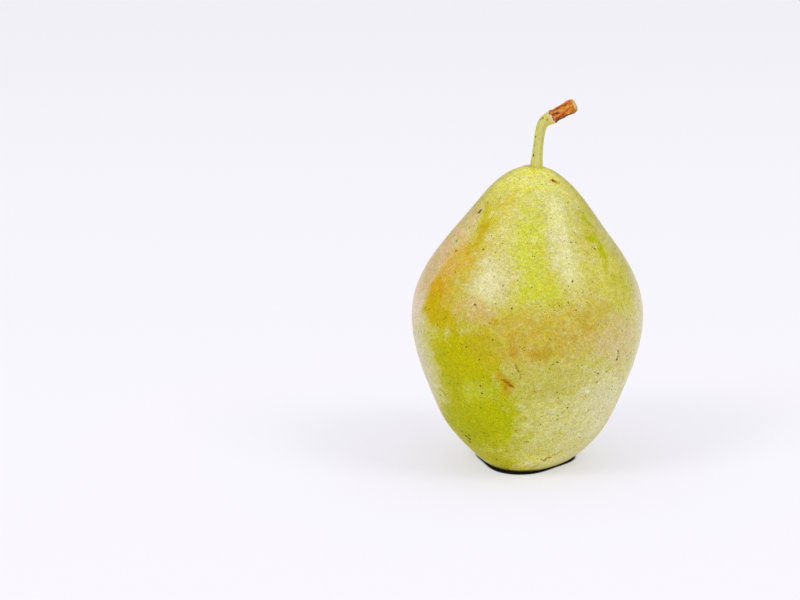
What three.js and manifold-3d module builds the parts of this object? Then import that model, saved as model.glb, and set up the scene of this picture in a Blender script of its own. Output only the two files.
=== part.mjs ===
// A pear standing on its blossom end, in three pieces: the fruit, its bent woody stem and the
// dried calyx in the basin underneath. Millimetres, +Z up, +X to the right of the side that
// faces the viewer, who stands on the -Y side. The origin is on the standing surface, under the
// middle of the pear's outline.

import * as THREE from 'three';
import { NURBSCurve } from 'three/addons/curves/NURBSCurve.js';
import { mergeVertices } from 'three/addons/utils/BufferGeometryUtils.js';
import Module from 'manifold-3d';

const wasm = await Module();
wasm.setup();

const splineDegree = 3;

// Fruit outline: control points [radius, height] of a clamped cubic B-spline, from the middle of
// the basin to the middle of the stem dimple. The four foot points leave a flat ring at height 0.
const basinPoints = [[0, 4.4], [3.4, 4.5], [6.6, 4], [8, 0.9]];
const footPoints = [[9.3, 0], [10.5, 0], [11.7, 0], [12.9, 0]];
const flankPoints = [
  [15.7, 2], [20.7, 7], [25.2, 14], [28.5, 22.5], [32.2, 32], [34.2, 42.4],
  [33, 51.8], [28.2, 61.5], [20.5, 71], [13.8, 80.6], [8.9, 85.3], [4.7, 87.9],
];
const dimplePoints = [[2.6, 88.4], [0.9, 88.1], [0, 88.1]];
const fruitHeight = 88;
const fruitSides = 64;
const ringsPerSpan = 3;

// The fruit grew a little uneven: lobes swell the round section by a share of its radius, the
// neck and the foot stand aside of the axis, and the shoulder slopes towards +X.
const lobes = [
  { count: 2, size: 0.01, turn: 25 },
  { count: 3, size: 0.008, turn: -68 },
  { count: 5, size: 0.0055, turn: 12 },
];
const lobeStartHeight = 12;
const neckLean = 1.46;
const neckSpan = [0.62, 0.9];
const footLean = 0.55;
const footSpan = 0.13;
const shoulderSlope = 0.066;
const shoulderSpan = [0.6, 0.95];

// Soft folds of flesh round the stem, deepest at foldRadius from its axis.
const foldCount = 3;
const foldDepth = 0.22;
const foldRadius = 4.5;
const foldWidth = 2.2;
const foldTurn = 40;

// Stem: control points of its axis, from the root in the fruit over the knee to the cut tip, and
// of its radius, as [distance along the axis, radius]. The green sheath ends in a lip past the
// knee, where the thicker brown spur wood comes out, and the wood swells at the cut.
const stemAxisPoints = [
  [1.7, 0, 82.4], [1.8, 0, 85.5], [1.95, 0, 89], [2.35, 0, 94], [2.75, -0.1, 98],
  [3.5, -0.3, 101.2], [5.3, -0.7, 102.3], [8.4, -1.6, 104.2], [10.4, -2.2, 105.5], [12.7, -2.9, 106.7],
];
const stemRadii = [
  [0, 1.4], [2, 1.5], [4.4, 1.75], [5.6, 1.92], [7.4, 1.7], [10, 1.5], [13, 1.42],
  [16, 1.42], [18.4, 1.52], [20.4, 1.78], [21.6, 2.02], [22.2, 2.16], [22.6, 2.12], [22.7, 1.84],
  [23.2, 1.82], [24.8, 1.86], [26.8, 1.88], [28, 2.04], [28.9, 2.06], [29.5, 1.85], [29.8, 1.4],
];
const stemSides = 20;
const stemRings = 42;
const stemSocketGap = 0.3;
const stemSocketTop = 7.5;

// Calyx: a dished disc under the basin's roof, five dry sepals and the stubs of the stamens.
const discOutline = [
  [0, 3], [1.1, 3], [1.5, 2.6], [2.1, 2.5], [2.7, 2.9], [2.8, 3.7], [2.4, 4.05], [0, 4.05],
];
const discSides = 36;
const sepalCount = 5;
const sepalAxisPoints = [[1.7, 3.3], [3.3, 3.1], [4.6, 2.4], [5.5, 1.1]];
const sepalHalfWidths = [1.3, 1.35, 1, 0.35];
const sepalHalfThickness = 0.33;
const sepalSteps = 9;
const sepalSides = 10;
const sepalTurn = 14;
const stamenCount = 9;
const stamenRadius = 0.22;
const stamenReach = [[0.75, 3.4], [1.25, 1.7]];
const stamenSides = 7;

const skinMaterial = new THREE.MeshStandardMaterial({ color: 0xc3c455, roughness: 0.38, metalness: 0 });
const stemMaterial = new THREE.MeshStandardMaterial({ color: 0xb5a049, roughness: 0.6, metalness: 0 });
const calyxMaterial = new THREE.MeshStandardMaterial({ color: 0x4a3827, roughness: 0.85, metalness: 0 });

const radians = THREE.MathUtils.degToRad;
const smoothstep = THREE.MathUtils.smoothstep;

// A closed solid through rings of points that all turn the same way, with a flat fan at each end.
function skinRings(rings) {
  const sides = rings[0].length;
  const points = rings.flat();
  const faces = [];
  for (let ring = 0; ring < rings.length - 1; ring += 1) {
    for (let side = 0; side < sides; side += 1) {
      const next = (side + 1) % sides;
      const [a, b] = [ring * sides + side, ring * sides + next];
      const [c, d] = [a + sides, b + sides];
      faces.push(a, b, d, a, d, c);
    }
  }
  const capRing = (start, outward) => {
    const ring = points.slice(start, start + sides);
    const middle = points.length;
    points.push(ring.reduce((sum, point) => sum.add(point), new THREE.Vector3()).divideScalar(sides));
    for (let side = 0; side < sides; side += 1) {
      const [a, b] = [start + side, start + ((side + 1) % sides)];
      faces.push(middle, ...(outward ? [a, b] : [b, a]));
    }
  };
  const lastStart = (rings.length - 1) * sides;
  capRing(0, false);
  capRing(lastStart, true);
  const geometry = new THREE.BufferGeometry().setFromPoints(points);
  geometry.setIndex(faces);
  return geometry;
}

function toSolid(geometry) {
  const bare = geometry.clone();
  bare.deleteAttribute('normal');
  bare.deleteAttribute('uv');
  const merged = mergeVertices(bare, 1e-4);
  return new wasm.Manifold(new wasm.Mesh({
    numProp: 3,
    vertProperties: new Float32Array(merged.getAttribute('position').array),
    triVerts: new Uint32Array(merged.getIndex().array),
  }));
}

function toGeometry(solid) {
  const mesh = solid.getMesh();
  const geometry = new THREE.BufferGeometry();
  geometry.setAttribute('position', new THREE.BufferAttribute(mesh.vertProperties, 3));
  geometry.setIndex(new THREE.BufferAttribute(mesh.triVerts, 1));
  geometry.computeVertexNormals();
  return geometry;
}

function namedMesh(name, geometry, material) {
  const mesh = new THREE.Mesh(geometry, material);
  mesh.name = name;
  return mesh;
}

// A cubic B-spline that starts and ends at its first and last control points.
function clampedSpline(controls) {
  const spans = controls.length - splineDegree;
  const knots = Array.from({ length: controls.length + splineDegree + 1 },
    (unused, index) => THREE.MathUtils.clamp(index - splineDegree, 0, spans));
  const points = controls.map(([x, y, z = 0]) => new THREE.Vector4(x, y, z, 1));
  return new NURBSCurve(splineDegree, knots, points);
}

function fruitOutline() {
  const controls = [...basinPoints, ...footPoints, ...flankPoints, ...dimplePoints];
  return clampedSpline(controls).getPoints((controls.length - splineDegree) * ringsPerSpan);
}

function lobeSwell(angle) {
  return lobes.reduce((sum, lobe) => sum + lobe.size * Math.cos(lobe.count * (angle - radians(lobe.turn))), 0);
}

// The surface point at one outline point and one angle round the axis.
function fruitPoint(outlinePoint, angle) {
  const { x: plainRadius, y: height } = outlinePoint;
  const radius = plainRadius * (1 + lobeSwell(angle) * smoothstep(height, 0, lobeStartHeight));
  const share = height / fruitHeight;
  const x = radius * Math.cos(angle) + neckLean * smoothstep(share, ...neckSpan)
    - footLean * (1 - smoothstep(share, 0, footSpan));
  const slope = shoulderSlope * x * smoothstep(share, ...shoulderSpan);
  const nearStem = Math.exp(-(((plainRadius - foldRadius) / foldWidth) ** 2));
  const fold = foldDepth * nearStem * smoothstep(share, ...shoulderSpan)
    * Math.cos(foldCount * (angle - radians(foldTurn)));
  return new THREE.Vector3(x, radius * Math.sin(angle), height - slope - fold);
}

function fruitSolid() {
  const rings = fruitOutline().slice(1, -1).map((outlinePoint) => Array.from(
    { length: fruitSides },
    (unused, side) => fruitPoint(outlinePoint, (2 * Math.PI * side) / fruitSides),
  ));
  return toSolid(skinRings(rings));
}

// A round rod along the stem's axis; extra widens it and lengthens its root end.
function stemSolid(extra = 0, length = Infinity) {
  const axis = clampedSpline(stemAxisPoints);
  const axisLength = axis.getLength();
  const stations = clampedSpline(stemRadii).getPoints(stemRings)
    .filter((station) => station.x <= length);
  const acrossBend = new THREE.Vector3(0, 1, 0);
  const rings = stations.map(({ x: distance, y: radius }, index) => {
    const share = Math.min(distance / axisLength, 1);
    const tangent = axis.getTangentAt(share);
    const inBend = new THREE.Vector3().crossVectors(acrossBend, tangent).normalize();
    const across = new THREE.Vector3().crossVectors(tangent, inBend);
    const middle = axis.getPointAt(share);
    if (index === 0) middle.addScaledVector(tangent, -extra);
    return Array.from({ length: stemSides }, (unused, side) => {
      const angle = (2 * Math.PI * side) / stemSides;
      return middle.clone()
        .addScaledVector(inBend, (radius + extra) * Math.cos(angle))
        .addScaledVector(across, (radius + extra) * Math.sin(angle));
    });
  });
  return toSolid(skinRings(rings));
}

function makeFruit() {
  const socket = stemSolid(stemSocketGap, stemSocketTop);
  return namedMesh('fruit', toGeometry(fruitSolid().subtract(socket)), skinMaterial);
}

function makeStem() {
  return namedMesh('stem', toGeometry(stemSolid()), stemMaterial);
}

// One dry sepal in the XZ plane, curling down from the disc to a narrow tip.
function sepalGeometry() {
  const axis = new THREE.SplineCurve(sepalAxisPoints.map((point) => new THREE.Vector2(...point)));
  const widths = new THREE.SplineCurve(sepalHalfWidths.map((width, index) => new THREE.Vector2(index, width)));
  const rings = Array.from({ length: sepalSteps }, (unusedStep, step) => {
    const share = step / (sepalSteps - 1);
    const middle = axis.getPoint(share);
    const tangent = axis.getTangent(share);
    const halfWidth = widths.getPoint(share).y;
    return Array.from({ length: sepalSides }, (unusedSide, side) => {
      const angle = (2 * Math.PI * side) / sepalSides;
      const lift = sepalHalfThickness * Math.sin(angle);
      return new THREE.Vector3(middle.x - tangent.y * lift, halfWidth * Math.cos(angle),
        middle.y + tangent.x * lift);
    });
  });
  return skinRings(rings);
}

function stamenGeometry() {
  const [root, tip] = stamenReach.map(([radius, height]) => new THREE.Vector3(radius, 0, height));
  const rod = new THREE.CylinderGeometry(stamenRadius, stamenRadius, root.distanceTo(tip), stamenSides);
  const direction = tip.clone().sub(root).normalize();
  rod.applyQuaternion(new THREE.Quaternion().setFromUnitVectors(new THREE.Vector3(0, 1, 0), direction));
  rod.translate(...root.add(tip).divideScalar(2).toArray());
  return rod;
}

function turnedCopies(geometry, count, firstAngle) {
  return Array.from({ length: count },
    (unused, index) => toSolid(geometry.clone().rotateZ(firstAngle + (2 * Math.PI * index) / count)));
}

function makeCalyx() {
  const disc = new THREE.LatheGeometry(discOutline.map((point) => new THREE.Vector2(...point)), discSides);
  disc.rotateX(Math.PI / 2);
  const pieces = [
    ...turnedCopies(sepalGeometry(), sepalCount, radians(sepalTurn)),
    ...turnedCopies(stamenGeometry(), stamenCount, 0),
  ];
  const calyx = pieces.reduce((joined, piece) => joined.add(piece), toSolid(disc));
  const mesh = namedMesh('calyx', toGeometry(calyx), calyxMaterial);
  mesh.position.x = -footLean;
  return mesh;
}

// The outline box is centred over the origin and stands on it.
function centreOnSurface(group) {
  const box = new THREE.Box3().setFromObject(group);
  const middle = box.getCenter(new THREE.Vector3());
  group.position.set(-middle.x, -middle.y, -box.min.z);
  return group;
}

const pear = new THREE.Group();
pear.add(makeFruit(), makeStem(), makeCalyx());

export default centreOnSurface(pear);
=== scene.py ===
# A pear on a pale tabletop: fine meshes for the fruit, its stem and its calyx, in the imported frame.
import math

import bpy
from mathutils import Matrix, Vector
from mathutils.bvhtree import BVHTree


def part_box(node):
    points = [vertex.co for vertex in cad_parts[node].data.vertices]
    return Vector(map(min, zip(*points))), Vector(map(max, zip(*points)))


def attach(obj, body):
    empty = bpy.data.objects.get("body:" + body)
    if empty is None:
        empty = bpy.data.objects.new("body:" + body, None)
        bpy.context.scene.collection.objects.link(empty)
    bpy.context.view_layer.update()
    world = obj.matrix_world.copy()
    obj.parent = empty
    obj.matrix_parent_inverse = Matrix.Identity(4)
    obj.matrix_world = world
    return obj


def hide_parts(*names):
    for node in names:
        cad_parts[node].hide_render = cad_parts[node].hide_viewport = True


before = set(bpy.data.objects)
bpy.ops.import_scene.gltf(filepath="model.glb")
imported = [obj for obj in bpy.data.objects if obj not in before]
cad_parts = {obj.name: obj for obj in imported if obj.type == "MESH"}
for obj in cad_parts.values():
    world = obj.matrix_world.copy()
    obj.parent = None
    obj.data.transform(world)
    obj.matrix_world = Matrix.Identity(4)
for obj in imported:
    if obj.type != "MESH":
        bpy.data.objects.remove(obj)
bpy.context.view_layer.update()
mm = 0.001
seamGap = 1e-4  # points closer than this, in mm, become one


# One output of a node. Sums and products of wires add Math nodes.
class Wire:
    def __init__(self, nodes, socket):
        self.nodes = nodes
        self.socket = socket

    def also(self, output):  # another output of the same node
        return Wire(self.nodes, self.socket.node.outputs[output])

    def __add__(self, other):
        return self.nodes.maths("ADD", self, other)

    __radd__ = __add__

    def __sub__(self, other):
        return self.nodes.maths("SUBTRACT", self, other)

    def __rsub__(self, other):
        return self.nodes.maths("SUBTRACT", other, self)

    def __mul__(self, other):
        return self.nodes.maths("MULTIPLY", self, other)

    __rmul__ = __mul__

    def __truediv__(self, other):
        return self.nodes.maths("DIVIDE", self, other)

    def __pow__(self, other):
        return self.nodes.maths("POWER", self, other)

    def __neg__(self):
        return self * -1


# The nodes of one tree, for shaders and for geometry alike.
class Nodes:
    def __init__(self, tree):
        self.tree = tree

    # settings are set first, then the values or links of the sockets, by name or number
    def add(self, kind, settings=None, sockets=None, output=0):
        node = self.tree.nodes.new(kind)
        for name, value in (settings or {}).items():
            setattr(node, name, value)
        for place, value in (sockets or {}).items():
            if isinstance(value, Wire):
                self.tree.links.new(value.socket, node.inputs[place])
            else:
                node.inputs[place].default_value = value
        return Wire(self, node.outputs[output]) if node.outputs else node

    def maths(self, operation, *values):
        return self.add("ShaderNodeMath", {"operation": operation}, dict(enumerate(values)))

    def vectorMaths(self, operation, *values, output="Vector"):
        return self.add("ShaderNodeVectorMath", {"operation": operation},
                        dict(enumerate(values)), output)

    def scaled(self, vector, factor):
        return self.add("ShaderNodeVectorMath", {"operation": "SCALE"}, {0: vector, "Scale": factor})

    def vector(self, x, y, z):
        return self.add("ShaderNodeCombineXYZ", None, {0: x, 1: y, 2: z})

    def parts(self, vector):
        x = self.add("ShaderNodeSeparateXYZ", None, {0: vector})
        return x, x.also(1), x.also(2)

    # eases from one result to the other while the value goes from low to high
    def ease(self, value, low, high, start=0.0, end=1.0):
        return self.add("ShaderNodeMapRange", {"interpolation_type": "SMOOTHSTEP"}, {
            "Value": value, "From Min": low, "From Max": high, "To Min": start, "To Max": end})

    # size is how large the blots are, in the units of the place
    def noise(self, place, size, detail=2.0, roughness=0.5, output="Fac"):
        return self.add("ShaderNodeTexNoise", None, {
            "Vector": place, "Scale": 1 / size, "Detail": detail, "Roughness": roughness}, output)

    # a number that swings by up to about half the reach each way
    def swing(self, place, size, reach, detail=2.0, roughness=0.5):
        return (self.noise(place, size, detail, roughness) - 0.5) * reach

    # the same as a vector
    def wander(self, place, size, reach):
        blots = self.noise(place, size, output="Color")
        return self.scaled(self.vectorMaths("SUBTRACT", blots, (0.5, 0.5, 0.5)), reach)

    # the cosine of several waves round a full turn, the first of them at a turn in degrees
    def waves(self, angle, count, turn):
        return self.maths("COSINE", (angle - math.radians(turn)) * count)

    def mixValue(self, mask, under, over):
        return self.add("ShaderNodeMix", {"data_type": "FLOAT"}, {0: mask, 2: under, 3: over})

    def mixColour(self, mask, under, over, blend="MIX"):
        return self.add("ShaderNodeMix", {"data_type": "RGBA", "blend_type": blend},
                        {0: mask, 6: under, 7: over}, 2)


def tint(code):  # "c8c43c" as the linear colour that shaders use
    shares = [int(code[start:start + 2], 16) / 255 for start in (0, 2, 4)]
    linear = [share / 12.92 if share <= 0.04045 else ((share + 0.055) / 1.055) ** 2.4 for share in shares]
    return (*linear, 1.0)


def addObject(name, data):
    made = bpy.data.objects.new(name, data)
    bpy.context.scene.collection.objects.link(made)
    return made


def emptyNodes(owner):  # of a material or a world
    owner.use_nodes = True
    owner.node_tree.nodes.clear()
    return Nodes(owner.node_tree)


# a geometry tree with a named input for each size
def geometryTree(name, inputs):
    tree = bpy.data.node_groups.new(name, "GeometryNodeTree")
    for label, kind in inputs.items():
        tree.interface.new_socket(label, in_out="INPUT", socket_type="NodeSocket" + kind)
    tree.interface.new_socket("Geometry", in_out="OUTPUT", socket_type="NodeSocketGeometry")
    nodes = Nodes(tree)
    entry = nodes.add("NodeGroupInput")
    return nodes, {label: entry.also(label) for label in inputs}


def moved(nodes, geometry, how, vector):  # how is "Position" or "Offset"
    return nodes.add("GeometryNodeSetPosition", None, {"Geometry": geometry, how: vector})


def mergeSeams(nodes, geometry):
    return nodes.add("GeometryNodeMergeByDistance", None, {"Geometry": geometry, "Distance": seamGap})


# the trees work in millimetres, and the piece comes out in metres
def closeTree(nodes, geometry, material, offset=(0, 0, 0)):
    inMetres = nodes.add("GeometryNodeTransform", None, {
        "Geometry": geometry, "Translation": offset, "Scale": (mm, mm, mm)})
    real = nodes.add("GeometryNodeRealizeInstances", None, {0: inMetres})
    smooth = nodes.add("GeometryNodeSetShadeSmooth", None, {0: real})
    coated = nodes.add("GeometryNodeSetMaterial", None, {"Geometry": smooth, "Material": material})
    nodes.add("NodeGroupOutput", None, {0: coated})


# builds the mesh of a piece from its tree, and removes the curves that guided it
def bakePiece(name, tree, values, guides):
    piece = addObject(name, bpy.data.meshes.new(name + "Start"))
    build = piece.modifiers.new("build", "NODES")
    build.node_group = tree
    for item in tree.interface.items_tree:
        if item.in_out == "INPUT" and item.name in values:
            build[item.identifier] = values[item.name]
    graph = bpy.context.evaluated_depsgraph_get()
    finished = bpy.data.meshes.new_from_object(
        piece.evaluated_get(graph), preserve_all_data_layers=True, depsgraph=graph)
    piece.modifiers.remove(build)
    piece.data = finished
    finished.name = name
    for guide in guides:
        bpy.data.objects.remove(guide)
    print("made", name, "with", len(finished.polygons), "faces")
    return piece


def splineGuide(name, points):  # a cubic B-spline that starts and ends at its outer control points
    curve = bpy.data.curves.new(name, "CURVE")
    curve.dimensions = "3D"
    spline = curve.splines.new("NURBS")
    spline.points.add(len(points) - 1)
    for point, place in zip(spline.points, points):
        point.co = (*place, *[0.0] * (3 - len(place)), 1.0)
    spline.order_u = 4
    spline.use_endpoint_u = True
    spline.resolution_u = 48
    return addObject(name, curve)


def guideSample(nodes, guide, place, mode="FACTOR"):
    curve = nodes.add("GeometryNodeObjectInfo", {"transform_space": "ORIGINAL"},
                      {"Object": guide}, "Geometry")
    socket = "Factor" if mode == "FACTOR" else "Length"
    return nodes.add("GeometryNodeSampleCurve", {"mode": mode},
                     {"Curves": curve, socket: place}, "Position")


# a sheet of points that a rule then rolls up: angle from 0 to a full turn, along from 0 to 1
def rolledGrid(nodes, sides, rings):
    grid = nodes.add("GeometryNodeMeshGrid", None, {
        "Size X": 2 * math.pi, "Size Y": 1.0, "Vertices X": sides + 1, "Vertices Y": rings + 1})
    angle, along = nodes.parts(nodes.add("GeometryNodeInputPosition"))[:2]
    return grid, angle + math.pi, along + 0.5


fruit = {
    "outline": [  # radius and height in mm, from the middle of the basin to the middle of the dimple
        (0, 4.4), (3.4, 4.5), (6.6, 4.0), (8.0, 0.9),
        (9.3, 0), (10.5, 0), (11.7, 0), (12.9, 0),
        (15.7, 2), (20.7, 7), (25.2, 14), (28.5, 22.5), (32.2, 32), (34.2, 42.4),
        (33.0, 51.8), (28.2, 61.5), (20.5, 71), (13.8, 80.6), (8.9, 85.3), (4.7, 87.9),
        (2.6, 88.4), (0.9, 88.1), (0, 88.1),
    ],
    "height": 88.0,
    "sides": 360,
    "rings": 210,
    "lobes": [(2, 0.010, 25), (3, 0.008, -68), (5, 0.0055, 12)],  # how many, share of radius, turn
    "lobeStart": 12.0,
    # the foot is a little three-cornered: it fades up the flank, and towards the basin
    "foot": {"corners": 3, "reach": 1.0, "turn": -100, "heights": (3.0, 14.0), "radii": (8.5, 12.5)},
    "neckLean": 1.46,
    "neckSpan": (0.62, 0.90),
    "footLean": 0.55,
    "footSpan": 0.13,
    "shoulderSlope": 0.066,
    "shoulderSpan": (0.60, 0.95),
    "folds": [(3, 0.22, 4.5, 2.2, 40), (7, 0.10, 3.2, 1.3, 10)],  # how many, depth, radius, width, turn
    "puckers": (11, 0.16, 6.6, 1.5, 5),  # the same for the ribs in the basin
    "basinSpan": (0.02, 0.09),  # share of the outline along which they end
    "foldStart": 0.6,  # radius within which they all fade out, so that both poles close
    "lumps": [(21.0, 0.42), (7.0, 0.13)],  # size and height of the uneven skin, in mm
    "lumpRise": (0.4, 7.0),  # heights between which the lumps come in above the ring it stands on
}


def foldWave(nodes, radius, angle, fold):
    count, depth, middle, width, turn = fold
    near = nodes.maths("EXPONENT", -(((radius - middle) / width) ** 2))
    return near * nodes.ease(radius, 0, fruit["foldStart"]) * depth * nodes.waves(angle, count, turn)


def fruitTree(material):
    nodes, given = geometryTree("fruitTree", {
        "Outline": "Object", "Sides": "Int", "Rings": "Int", "Height": "Float",
        "Neck lean": "Float", "Foot lean": "Float", "Shoulder slope": "Float"})
    grid, angle, along = rolledGrid(nodes, given["Sides"], given["Rings"])
    plainRadius, height = nodes.parts(guideSample(nodes, given["Outline"], along))[:2]
    swell = sum(nodes.waves(angle, count, turn) * size for count, size, turn in fruit["lobes"])
    foot = fruit["foot"]
    onFoot = nodes.ease(height, *foot["heights"], 1.0, 0.0) * nodes.ease(plainRadius, *foot["radii"])
    footShape = nodes.waves(angle, foot["corners"], foot["turn"]) * foot["reach"] * onFoot
    radius = plainRadius * (1 + swell * nodes.ease(height, 0, fruit["lobeStart"])) + footShape
    share = height / given["Height"]
    shoulder = nodes.ease(share, *fruit["shoulderSpan"])
    neckShift = given["Neck lean"] * nodes.ease(share, *fruit["neckSpan"])
    footShift = given["Foot lean"] * (1 - nodes.ease(share, 0, fruit["footSpan"]))
    x = radius * nodes.maths("COSINE", angle) + neckShift - footShift
    y = radius * nodes.maths("SINE", angle)
    stemFolds = sum(foldWave(nodes, plainRadius, angle, fold) for fold in fruit["folds"]) * shoulder
    inBasin = nodes.ease(along, *fruit["basinSpan"], 1.0, 0.0)
    puckers = foldWave(nodes, plainRadius, angle, fruit["puckers"]) * inBasin
    z = height - given["Shoulder slope"] * x * shoulder - stemFolds - puckers
    closed = mergeSeams(nodes, moved(nodes, grid, "Position", nodes.vector(x, y, z)))

    place = nodes.add("GeometryNodeInputPosition")
    level = nodes.parts(place)[2]
    lump = sum(nodes.swing(place, size, high, 1.0) for size, high in fruit["lumps"])
    normal = nodes.add("GeometryNodeInputNormal")
    offset = nodes.scaled(normal, lump * nodes.ease(level, *fruit["lumpRise"]))
    closeTree(nodes, moved(nodes, closed, "Offset", offset), material)
    return nodes.tree


def makeFruit(material):
    outline = splineGuide("fruitOutline", fruit["outline"])
    return bakePiece("fruitSkin", fruitTree(material), {
        "Outline": outline, "Sides": fruit["sides"], "Rings": fruit["rings"], "Height": fruit["height"],
        "Neck lean": fruit["neckLean"], "Foot lean": fruit["footLean"],
        "Shoulder slope": fruit["shoulderSlope"]}, [outline])


stem = {
    "axis": [  # from the root in the fruit over the knee to the cut tip, in mm
        (1.7, 0, 82.4), (1.8, 0, 85.5), (1.95, 0, 89), (2.35, 0, 94), (2.75, -0.1, 98),
        (3.5, -0.3, 101.2), (5.3, -0.7, 102.3), (8.4, -1.6, 104.2), (10.4, -2.2, 105.5),
        (12.7, -2.9, 106.7),
    ],
    "radii": [  # distance along the axis and radius, in mm
        (0, 0), (0, 1.2), (0.1, 1.4), (2, 1.5), (4.4, 1.75), (5.6, 1.92), (7.4, 1.7), (10, 1.5),
        (13, 1.42), (16, 1.42), (18.4, 1.52), (20.4, 1.78), (21.6, 2.02), (22.2, 2.16), (22.6, 2.12),
        (22.7, 1.84), (23.2, 1.82), (24.8, 1.86), (26.8, 1.88), (28, 2.04), (28.9, 2.06),
        (29.5, 1.85), (29.8, 1.4), (29.7, 1.0), (29.6, 0.6), (29.65, 0.3), (29.65, 0),
    ],
    "sides": 96,
    "rings": 300,
    "sheathEnd": 22.65,  # where the green sheath ends and the brown wood begins
    "woodEdge": (-0.1, 0.3),  # how far before and past that end the bark comes in
    "ribs": (0.9, 0.16, 0.30),  # their size, and their height on the sheath and on the wood, in mm
    "cracks": (0.55, 0.05, 0.42),  # the same for the roughness of the bark
    "wrap": 1.5,  # radius at which both are laid round the stem
    "ribPace": 0.22,  # the ribs' pattern passes this slowly along the stem, so that they run long
    "capSpan": (0.2, 1.2),  # radii between which the relief comes in on both ends
}


def stemTree(material):
    nodes, given = geometryTree("stemTree", {
        "Axis": "Object", "Radii": "Object", "Sides": "Int", "Rings": "Int"})
    grid, angle, along = rolledGrid(nodes, given["Sides"], given["Rings"])
    distance, radius = nodes.parts(guideSample(nodes, given["Radii"], along))[:2]
    middle = guideSample(nodes, given["Axis"], distance, "LENGTH")
    tangent = middle.also("Tangent")
    inBend = nodes.vectorMaths("NORMALIZE", nodes.vectorMaths("CROSS_PRODUCT", (0, 1, 0), tangent))
    across = nodes.vectorMaths("CROSS_PRODUCT", tangent, inBend)
    cosine, sine = nodes.maths("COSINE", angle), nodes.maths("SINE", angle)

    edgeStart, edgeEnd = stem["woodEdge"]
    onWood = nodes.ease(distance, stem["sheathEnd"] + edgeStart, stem["sheathEnd"] + edgeEnd)
    wrapX, wrapY = cosine * stem["wrap"], sine * stem["wrap"]
    ribSize, *ribHeights = stem["ribs"]
    crackSize, *crackHeights = stem["cracks"]
    ribs = nodes.swing(nodes.vector(wrapX, wrapY, distance * stem["ribPace"]), ribSize,
                       nodes.ease(onWood, 0, 1, *ribHeights))
    cracks = nodes.swing(nodes.vector(wrapX, wrapY, distance), crackSize,
                         nodes.ease(onWood, 0, 1, *crackHeights), 3.0, 0.6)
    rough = radius + (ribs + cracks) * nodes.ease(radius, *stem["capSpan"])
    placed = nodes.vectorMaths("ADD", middle, nodes.vectorMaths(
        "ADD", nodes.scaled(inBend, rough * cosine), nodes.scaled(across, rough * sine)))
    marked = grid
    labels = {"stemAlong": distance, "stemRadius": radius, "stemCosine": cosine, "stemSine": sine}
    for label, value in labels.items():  # the bark's paint reads them
        marked = nodes.add("GeometryNodeStoreNamedAttribute", {"data_type": "FLOAT", "domain": "POINT"},
                           {"Geometry": marked, "Name": label, "Value": value})
    closeTree(nodes, mergeSeams(nodes, moved(nodes, marked, "Position", placed)), material)
    return nodes.tree


def makeStem(material):
    axis = splineGuide("stemAxis", stem["axis"])
    radii = splineGuide("stemRadii", stem["radii"])
    return bakePiece("stemRod", stemTree(material), {
        "Axis": axis, "Radii": radii, "Sides": stem["sides"], "Rings": stem["rings"]}, [axis, radii])


# the dried flower in the basin underneath
calyx = {
    "discOutline": [  # radius and height in mm, from the middle of its lower face to its back
        (0, 3.05), (0.8, 3.1), (1.3, 2.75), (1.7, 2.45), (2.3, 2.45), (2.8, 2.9), (2.85, 3.6),
        (2.5, 4.05), (0, 4.05),
    ],
    "discSides": 90,
    "discRings": 60,
    "sepalAxis": [
        (1.4, 0, 3.3), (2.6, 0, 3.3), (3.9, 0, 3.0), (4.9, 0, 2.4), (5.5, 0, 1.6), (5.6, 0, 0.9),
    ],
    "sepalShape": [  # share of its length, half width and half thickness in mm
        (0, 0, 0), (0, 1.0, 0.16), (0.1, 1.35, 0.24), (0.4, 1.45, 0.24), (0.7, 1.0, 0.18),
        (0.9, 0.45, 0.13), (1.0, 0.2, 0.1), (1.0, 0, 0),
    ],
    "sepals": 5,
    "sepalTurn": 14,
    "sepalSides": 28,
    "sepalRings": 56,
    "sepalChance": (0.10, 0.05, (0.92, 1.0)),  # by how much each turns and leans, in radians; their sizes
    "stamenAxis": [(0.7, 0, 3.5), (0.75, 0, 3.0), (0.95, 0, 2.5), (1.2, 0, 2.1), (1.25, 0, 1.7)],
    "stamenShape": [
        (0, 0, 0), (0, 0.15, 0.15), (0.3, 0.11, 0.11), (0.7, 0.1, 0.1), (0.8, 0.12, 0.12),
        (0.88, 0.27, 0.2), (1.0, 0.24, 0.18), (1.0, 0, 0),
    ],
    "stamens": 14,
    "stamenSides": 12,
    "stamenRings": 26,
    "stamenChance": (0.16, 0.12, (0.7, 1.25)),
    "trough": 0.25,  # how much a sepal bends up at its sides
    "waves": (1.1, 0.7, 6),  # size and height of its uneven face and the length it is laid on, in mm
    "crumple": (0.5, 0.16),  # size and height of the fine wrinkles all over, in mm
    "seed": 5,
}


# a rod along a guide in the XZ plane whose section is wider than it is thick
def sweptLeaf(nodes, axis, shape, sides, rings):
    grid, angle, along = rolledGrid(nodes, sides, rings)
    share, halfWidth, halfThickness = nodes.parts(guideSample(nodes, shape, along))
    waveSize, waveHeight, waveLength = calyx["waves"]
    middle = guideSample(nodes, axis, share)
    tangent = middle.also("Tangent")
    lift = nodes.vectorMaths("CROSS_PRODUCT", (0, 1, 0), tangent)
    sideways = halfWidth * nodes.maths("COSINE", angle)
    uneven = nodes.swing(nodes.vector(sideways, share * waveLength, 0), waveSize, waveHeight)
    trough = sideways ** 2 * calyx["trough"] + uneven * share
    upward = halfThickness * nodes.maths("SINE", angle) + trough
    place = nodes.vectorMaths("ADD", middle, nodes.vectorMaths(
        "ADD", nodes.vector(0, -sideways, 0), nodes.scaled(lift, upward)))
    return moved(nodes, grid, "Position", place)


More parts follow.
